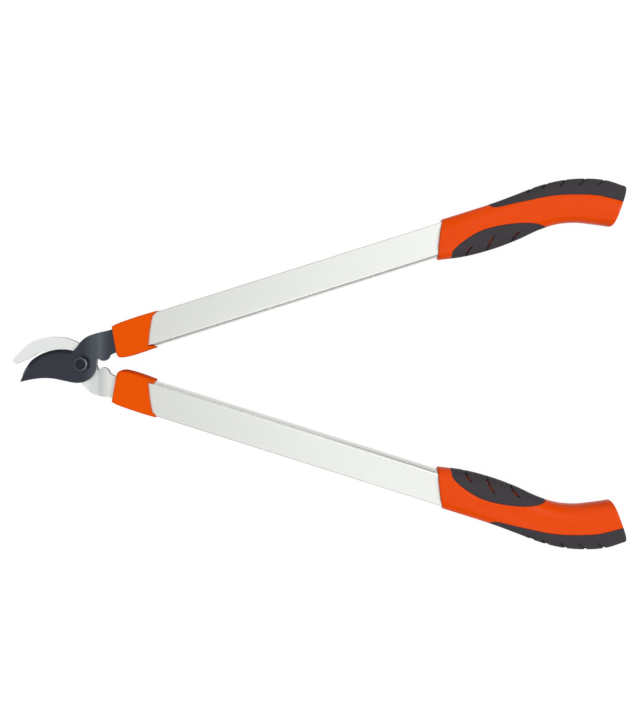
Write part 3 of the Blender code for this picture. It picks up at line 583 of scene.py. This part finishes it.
def refined(slices):
    """The slices, with more between them where a pad widens fast."""
    finer = [slices[0]]
    for after in slices[1:]:
        waiting = [after]
        while waiting:
            before, following = finer[-1], waiting[-1]
            change = max(abs(following.strip - before.strip), abs(following.pad - before.pad))
            if change > TURN_STEP and following.share - before.share > FINEST_RING:
                waiting.append(Section((before.share + following.share) / 2))
            else:
                finer.append(waiting.pop())
    return finer


def grip_sections():
    """The slices of the grip, rounded at its mouth and over its end."""
    slices = []
    for turn in MOUTH_TURNS:
        inward = MOUTH_ROUND * (1 - math.cos(math.radians(turn)))
        onward = -MOUTH_ROUND * math.sin(math.radians(turn))
        slices.append(Section(0.0, inward, onward))
    slices += refined([Section(step / GRIP_RINGS) for step in range(GRIP_RINGS + 1)])
    for turn in END_TURNS:
        inward = GRIP_END_ROUND * (1 - math.cos(math.radians(turn)))
        onward = GRIP_DOME * math.sin(math.radians(turn))
        slices.append(Section(1.0, inward, onward))
    for flatten in END_FLATTENS:
        slices.append(Section(1.0, GRIP_END_ROUND, GRIP_DOME, flatten))
    return slices


def wrapped(name, slices, rows_of, material):
    """A closed skin over the slices: a grid whose rows are given, slice by slice, as turn and inset."""
    rows = [rows_of(section) for section in slices]
    bm = bmesh.new()
    bmesh.ops.create_grid(bm, x_segments=len(slices) - 1, y_segments=len(rows[0]), size=0.5)
    for vert in bm.verts:
        along = round((vert.co.x + 0.5) * (len(slices) - 1))
        around = round((vert.co.y + 0.5) * len(rows[0])) % len(rows[0])
        turn, inset = rows[along][around]
        vert.co = slices[along].point(turn, inset)
    bmesh.ops.remove_doubles(bm, verts=bm.verts, dist=FORM_WELD)
    bmesh.ops.holes_fill(bm, edges=[edge for edge in bm.edges if edge.is_boundary], sides=0)
    bmesh.ops.recalc_face_normals(bm, faces=bm.faces)
    return new_piece(name, bm, material, MOULDED_SHARP_TURN)


def spread(start, end, count):
    """Evenly spaced values from start to end, both included."""
    return [start + (end - start) * step / count for step in range(count + 1)]


def body_rows(section):
    """Rows round the hard body: a sunk seat under each soft piece, and a lip beside it."""
    half = []
    for turn_limit, depth, count, outward in ((section.strip, section.strip_depth, STRIP_ROWS, True),
                                              (section.pad, section.pad_depth, PAD_ROWS, False)):
        if turn_limit:
            edge = turn_limit + section.angle_for(turn_limit, PARTING)
            lip = edge + section.angle_for(turn_limit, LIP)
            rows = [(turn, depth + SEAT_GAP) for turn in spread(0.0, edge, count)]
            rows += [(edge, LIP_DEPTH)]
        else:
            lip = 0.0
            rows = [(0.0, 0.0)] * (count + 2)
        if outward:
            half += rows
            first = lip
        else:
            middle = [(turn, 0.0) for turn in spread(first, math.pi - lip, BODY_ROWS)]
            half += middle + [(math.pi - turn, inset) for turn, inset in rows[::-1]]
    return half + [(math.tau - turn, inset) for turn, inset in half[-2:0:-1]]


def pad_rows(limit, depth, count, centre):
    """Rows round a soft piece: over its outer face, down its edge and back under it."""
    def rows(section):
        """The rows for one slice."""
        reach = limit(section)
        if not reach:
            return [(centre, 0.0)] * (4 * count + 4)
        edge = max(reach - section.angle_for(reach, PARTING), LEAST_EDGE)
        lip = max(edge - section.angle_for(reach, LIP), LEAST_FACE)
        over = [(centre + turn, 0.0) for turn in spread(-lip, lip, 2 * count)]
        under = [(centre + turn, depth(section)) for turn in spread(edge, -edge, 2 * count)]
        return over + [(centre + edge, LIP_DEPTH)] + under + [(centre - edge, LIP_DEPTH)]
    return rows


def slot_cutters(name, slots, width, bow, slices, groove):
    """Bowed bars with round ends that cut all the slots of a soft piece, as deep as their grooves go."""
    bm = bmesh.new()
    reach = 2 * TUBE_THICK
    for start, end in slots:
        start = Vector((TUBE_END + start[0], TUBE_OFFSET + start[1], 0))
        end = Vector((TUBE_END + end[0], TUBE_OFFSET + end[1], 0))
        ahead = (end - start).normalized()
        end = end + ahead * SLOT_RUN_OUT
        bar = bmesh.ops.create_grid(bm, x_segments=SLOT_STEPS, y_segments=1, size=0.5)["verts"]
        half = (end - start).length / 2
        for vert in bar:
            onward = 2 * vert.co.x
            narrow = math.sqrt(1 - SLOT_TAPER * abs(onward) ** SLOT_SQUARENESS)
            vert.co = Vector((onward * half, vert.co.y * width * narrow + bow * (1 - onward ** 2), 0))
        turn = Matrix.Rotation(math.atan2(ahead.y, ahead.x), 4, "Z")
        foot = (start + end) / 2 - Vector((0, 0, reach))
        bmesh.ops.transform(bm, matrix=Matrix.Translation(foot) @ turn, verts=bar)
        sheet = list(dict.fromkeys(face for vert in bar for face in vert.link_faces))
        raised = bmesh.ops.extrude_face_region(bm, geom=sheet)["geom"]
        raised = [part for part in raised if isinstance(part, bmesh.types.BMVert)]
        bmesh.ops.translate(bm, vec=(0, 0, 2 * reach), verts=raised)
    bmesh.ops.recalc_face_normals(bm, faces=bm.faces)
    bars = new_piece(name, bm, None)

    def rows(section):
        """The floors of the grooves, all the way round."""
        return [(turn, groove(section, turn)) for turn in spread(0.0, math.tau, CORE_ROWS)[:-1]]

    return cut(bars, wrapped(name + "_core", slices, rows, None))


def bore_cutter(name):
    """The room for the tube inside the grip."""
    bm = bmesh.new()
    bmesh.ops.create_cube(bm, size=1.0)
    size = Vector((BORE_LENGTH, TUBE_WIDTH + 2 * BORE_GAP, TUBE_THICK + 2 * BORE_GAP))
    bmesh.ops.scale(bm, vec=size, verts=bm.verts)
    bmesh.ops.translate(bm, vec=(TUBE_END - BORE_LENGTH / 2, TUBE_OFFSET, 0), verts=bm.verts)
    corners = [edge for edge in bm.edges
               if abs(edge.verts[0].co.x - edge.verts[1].co.x) > BORE_LENGTH / 2]
    bmesh.ops.bevel(bm, geom=corners, offset=BORE_CORNER, affect="EDGES", segments=4, profile=0.5,
                    material=-1)
    return new_piece(name, bm, None)


def cut(piece, tool, how="DIFFERENCE"):
    """Cuts a piece with a tool, which is then thrown away."""
    step = piece.modifiers.new("cut", "BOOLEAN")
    step.operation = how
    step.solver = "EXACT"
    step.object = tool
    settled(piece)
    bpy.data.objects.remove(tool, do_unlink=True)
    return piece


def placed(form, name, side):
    """A copy of a form in a lever's own frame, put where that lever lies."""
    data = form.data.copy()
    data.transform(LEVERS[side] @ Matrix.Scale(MM, 4))
    made = bpy.data.objects.new(name, data)
    bpy.context.scene.collection.objects.link(made)
    return made


def grips(hard, soft):
    """The grips with their soft strips and pads, made once and placed on both handles."""
    slices = grip_sections()
    body = wrapped("grip_form", slices, body_rows, hard)
    cut(body, bore_cutter("grip_bore"))

    first = next(place for place, section in enumerate(slices) if section.strip)
    rows = pad_rows(lambda section: section.strip, lambda section: section.strip_depth, STRIP_ROWS, 0.0)
    strip = wrapped("strip_form", slices[first:], rows, soft)
    cut(strip, slot_cutters("strip_slots", STRIP_SLOTS, STRIP_SLOT_WIDTH, 0.0, slices,
                            Section.strip_groove))

    held = [place for place, section in enumerate(slices) if section.pad]
    rows = pad_rows(lambda section: section.pad, lambda section: section.pad_depth, PAD_ROWS, math.pi)
    pad = wrapped("pad_form", slices[held[0]:held[-1] + 1], rows, soft)
    cut(pad, slot_cutters("pad_slots", PAD_SLOTS, PAD_SLOT_WIDTH, -PAD_SLOT_BOW, slices,
                          Section.pad_groove))

    for side in LEVERS:
        forms = ((body, side + "_grip", "orange_plastic"), (strip, side + "_grip_strip", "soft_grey"),
                 (pad, side + "_grip_pad", "soft_grey"))
        for form, node, slot in forms:
            piece = placed(form, node + "_moulding", side)
            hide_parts(node)
            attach(piece, body_of(node))
    for form in (body, strip, pad):
        bpy.data.objects.remove(form, do_unlink=True)


def bend_drop(along, bend, side, lean=1.0):
    """How far a tang is bent towards the tubes' plane at a place, in metres of height."""
    share = 1 - (1 - ramp(along / MM, *bend)) ** lean
    eased = share * share * (3 - 2 * share)
    drop = eased * (PLATE_FOOT + PLATE_THICK[side] / 2) * MM
    return drop if side == "blade" else -drop


def rebent(side):
    """What straightens a tang's bend and makes it again, square to the midline, in finer steps."""
    def reshape(bm):
        """Reshapes one plate."""
        into_lever = LEVERS[side].inverted()
        for vert in bm.verts:
            vert.co.z += bend_drop((into_lever @ vert.co).x, PACKED_BEND, side)
        bmesh.ops.dissolve_limit(bm, angle_limit=math.radians(CREASE_TURN), verts=bm.verts,
                                 edges=bm.edges)
        for along in spread(*BEND[side], BEND_STEPS):
            bmesh.ops.bisect_plane(bm, geom=bm.verts[:] + bm.edges[:] + bm.faces[:], dist=CUT_WITHIN,
                                   plane_co=(along * MM, 0, 0), plane_no=(1, 0, 0))
        for vert in bm.verts:
            vert.co.z -= bend_drop(vert.co.x, BEND[side], side, BEND_LEAN)
    return reshape


def heeled(bm):
    """Bends the blade's tang, and takes its ground face on to the heel without narrowing it."""
    rebent("blade")(bm)
    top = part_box("cutting_blade")[1][2]
    run_out = [vert for vert in bm.verts if top - vert.co.z < LEVEL_WITHIN * MM
               and HEEL[0] * MM < vert.co.x < HEEL[1] * MM
               and GROUND_LINE * MM < vert.co.y < HEEL_TOP * MM]
    for vert in run_out:
        vert.co.y = GROUND_LINE * MM


def cornered(side):
    """What gives a tube's long corners their own rounding."""
    def reshape(bm):
        """Moves the corners of one tube."""
        lever = LEVERS[side] @ Matrix.Scale(MM, 4)
        into_lever = lever.inverted()
        for vert in bm.verts:
            place = into_lever @ vert.co
            out = 1 if place.y > TUBE_OFFSET else -1
            up = 1 if place.z > 0 else -1
            flank = Vector((out * (place.y - TUBE_OFFSET) - TUBE_WIDTH / 2,
                            up * place.z - TUBE_THICK / 2))
            old = PACKED_CORNER[out]
            turn = (flank + Vector((old, old))) / old
            if min(turn) > IN_QUARTER and abs(turn.length - 1) < ON_ARC:
                flank = turn * CORNER[out] - Vector((CORNER[out], CORNER[out]))
                place.y = TUBE_OFFSET + out * (flank[0] + TUBE_WIDTH / 2)
                place.z = up * (flank[1] + TUBE_THICK / 2)
                vert.co = lever @ place
    return reshape


def crowned(bm):
    """Turns the corners off the bolt's head, down from its flat top."""
    blank = new_piece("bolt_blank", bm.copy(), None)
    foot, top = (corner[2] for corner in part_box("pivot_bolt"))
    height = top - foot + CROWN_DEEPER * MM
    for radius, slope in CROWN:
        turning = bmesh.new()
        foot_radius = radius * MM + height / math.tan(math.radians(slope))
        bmesh.ops.create_cone(turning, cap_ends=True, segments=CROWN_SIDES, radius1=foot_radius,
                              radius2=radius * MM, depth=height)
        bmesh.ops.translate(turning, vec=(PIVOT.x, PIVOT.y, top - height / 2), verts=turning.verts)
        cut(blank, new_piece("crown_turning", turning, None), "INTERSECT")
    bm.clear()
    bm.from_mesh(blank.data)
    bpy.data.objects.remove(blank, do_unlink=True)


def shade_hook_sides(hook):
    """Gives the hook's upright sides a duller, darker steel: painted shade along its edges."""
    hook.data.materials.append(side_shade_steel())
    for face in hook.data.polygons:
        if abs(face.normal.z) < UPRIGHT:
            face.material_index = 1


def painted_ring_highlight(bolt):
    """Gives the upper cone of the bolt's head a brighter metal, a painted highlight where its chamfer catches the
    light.
    """
    bolt.data.materials.append(ring_highlight_steel())
    for face in bolt.data.polygons:
        if RING_FACING[0] < face.normal.z < RING_FACING[1]:
            face.material_index = 1


def head(coated, plated, zinc, bronze):
    """The two blades and what holds them together."""
    eased_copy("cutting_blade", "cutting_blade_forging", coated, 0.3, heeled)
    hook = eased_copy("counter_blade", "hook_forging", plated, 0.25, rebent("hook"))
    # painted shade on the hook's upright sides
    shade_hook_sides(hook)
    bolt = eased_copy("pivot_bolt", "pivot_bolt_turning", blackened_steel(), 0.0, crowned,
                      sharp=TURNED_SHARP_TURN)
    # painted highlight on the bolt head's upper cone
    painted_ring_highlight(bolt)
    eased_copy("pivot_nut", "pivot_nut_turning", zinc, 0.2)
    eased_copy("pivot_washer", "pivot_washer_pressing", zinc, 0.2)
    eased_copy("pivot_bush", "pivot_bush_turning", bronze, 0.15)


def handles(orange, nylon, zinc):
    """Tubes, collars, packing and rivets of both handles."""
    for side in LEVERS:
        aluminium = satin_aluminium(side)
        eased_copy(side + "_tube", side + "_tube_extrusion", aluminium, 0.0,
                   cornered(side))
        eased_copy(side + "_collar", side + "_collar_moulding", orange, 0.8)
        eased_copy(side + "_tang_insert", side + "_tang_packing", nylon, 0.0)
        for place in ("front", "rear"):
            node = side + "_rivet_" + place
            eased_copy(node, node + "_pin", zinc, 0.2)


def profile(tree, value, stops):
    """A strength that follows stops along one axis of the room, from -1 to 1."""
    place = add(tree, "ShaderNodeMapRange", {"Value": value, "From Min": -1.0, "From Max": 1.0})
    ramp_node = add(tree, "ShaderNodeValToRGB", {"Fac": place.outputs["Result"]})
    ramp_node.color_ramp.interpolation = "EASE"
    points = ramp_node.color_ramp.elements
    while len(points) < len(stops):
        points.new(0.5)
    for point, (along, strength) in zip(points, stops):
        point.position = (along + 1) / 2
    for point, (along, strength) in zip(points, stops):
        point.color = (strength, strength, strength, 1.0)
    return ramp_node.outputs["Color"]


def floor():
    """A floor of grey paper that looks white and keeps the object's shadow."""
    bm = bmesh.new()
    bmesh.ops.create_grid(bm, x_segments=1, y_segments=1, size=PAPER_HALF)
    floor_paper, tree, shader = new_material("floor_paper", "#8c8c8c", 0.0, 0.9)
    path = add(tree, "ShaderNodeLightPath")
    seen = path.outputs["Is Camera Ray"]
    for kind in ("Is Glossy Ray", "Is Transmission Ray"):
        seen = add(tree, "ShaderNodeMath", {0: seen, 1: path.outputs[kind]},
                   operation="MAXIMUM").outputs["Value"]
    share = add(tree, "ShaderNodeMath", {0: seen, 1: GLOW_SHARE}, operation="MULTIPLY")
    white = add(tree, "ShaderNodeEmission", {"Color": (1, 1, 1, 1), "Strength": PAPER_GLOW})
    blend = add(tree, "ShaderNodeMixShader", {0: share.outputs["Value"], 1: shader.outputs["BSDF"],
                                              2: white.outputs["Emission"]})
    tree.links.new(blend.outputs["Shader"], tree.nodes["Material Output"].inputs["Surface"])
    new_piece("floor", bm, floor_paper)


def room():
    """A soft light overhead that is dim along both sides, over a pale wall all round."""
    world = bpy.data.worlds.new("soft_room")
    bpy.context.scene.world = world
    world.use_nodes = True
    tree = world.node_tree
    coords = add(tree, "ShaderNodeTexCoord")
    parts = add(tree, "ShaderNodeSeparateXYZ", {"Vector": coords.outputs["Generated"]})
    strengths = [profile(tree, parts.outputs[axis], stops) for axis, stops in ROOM]
    level = strengths[0]
    for strength in strengths[1:]:
        level = add(tree, "ShaderNodeMath", {0: level, 1: strength},
                    operation="MULTIPLY").outputs["Value"]
    wall = add(tree, "ShaderNodeMapRange", {"Value": parts.outputs["Z"], "From Min": WALL[1],
                                            "From Max": WALL[0]})
    walled = add(tree, "ShaderNodeMix", {"Factor": wall.outputs["Result"], "A": level, "B": 1.0})
    light = tree.nodes["Background"]
    light.inputs["Color"].default_value = (1, 1, 1, 1)
    tree.links.new(walled.outputs["Result"], light.inputs["Strength"])


def lamps():
    """The lamps: all far away, one narrow and bright and the others wide and soft."""
    for name, side, level, width in LAMPS:
        data = bpy.data.lights.new(name, "SUN")
        data.angle = math.radians(width)
        data.energy = level
        lamp = bpy.data.objects.new(name, data)
        bpy.context.scene.collection.objects.link(lamp)
        lamp.rotation_euler = Vector(side).to_track_quat("Z", "Y").to_euler()


def camera():
    """The camera, looking straight down from over the foot point, its frame shifted to centre."""
    data = bpy.data.cameras.new("camera")
    view_height = FRAME_PIXELS[1] * PIXEL
    data.sensor_width = SENSOR
    data.lens = SENSOR * CAMERA_HEIGHT / view_height
    data.shift_x = (FRAME_PIXELS[0] / 2 - FOOT_PIXEL[0]) / FRAME_PIXELS[1]
    data.shift_y = (FOOT_PIXEL[1] - FRAME_PIXELS[1] / 2) / FRAME_PIXELS[1]
    made = bpy.data.objects.new("camera", data)
    bpy.context.scene.collection.objects.link(made)
    made.location = (PIVOT.x + (FOOT_PIXEL[0] - PIVOT_PIXEL[0]) * PIXEL * MM,
                     PIVOT.y + (PIVOT_PIXEL[1] - FOOT_PIXEL[1]) * PIXEL * MM,
                     PIVOT.z + CAMERA_HEIGHT * MM)
    bpy.context.scene.camera = made


def main():
    """Dresses the lopper and sets it in its studio."""
    bpy.context.scene.view_settings.view_transform = "Standard"
    camera()
    floor()
    room()
    lamps()
    zinc = zinc_plate()
    head(coated_steel(), plated_steel(), zinc, oiled_bronze())
    collar_nylon = orange_nylon("collar_nylon", "#f45600", "#ff5e00", 0.05, 0.66, 0.78, 0.03)
    handles(collar_nylon, dark_nylon(), zinc)
    grip_nylon = orange_nylon("grip_nylon", "#f54c00", "#fe5200", 0.10, 0.22, 0.27, 0.004)
    grips(grip_nylon, soft_rubber())


main()
